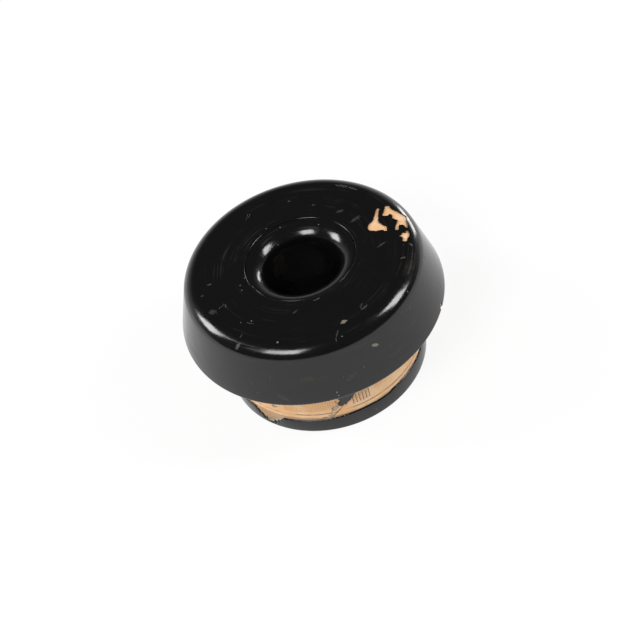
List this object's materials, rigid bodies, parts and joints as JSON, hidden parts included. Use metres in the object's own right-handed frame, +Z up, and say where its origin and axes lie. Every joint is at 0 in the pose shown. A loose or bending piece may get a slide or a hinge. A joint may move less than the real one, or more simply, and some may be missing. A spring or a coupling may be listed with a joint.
{
  "type": "fence insulator",
  "caption": "Round ceramic fence insulator with a sloping skirted cap, a rolled lip round its through bore, a bare neck for the fence wire and a glossy black coat.",
  "frame": {"origin": "centre of the foot's flat resting face, on the bore's axis", "axes": "+Z up the bore, from the foot towards the lip; -Y towards the island of coat on the neck, +X towards the chip on the shoulder"},
  "size_m": [0.056, 0.056, 0.0299],
  "materials": {
    "fired_clay": "bare and matt",
    "black_coat": "glossy, with fine scuffs",
    "cement": "rough and dry"
  },
  "bodies": {
    "root": {"spool_core": "fired_clay", "cap_shell": "fired_clay", "cement_joint": "cement", "cap_glaze": "black_coat", "bore_glaze": "black_coat", "foot_glaze": "black_coat", "neck_glaze_patch": "black_coat"}
  },
  "joints": []
}
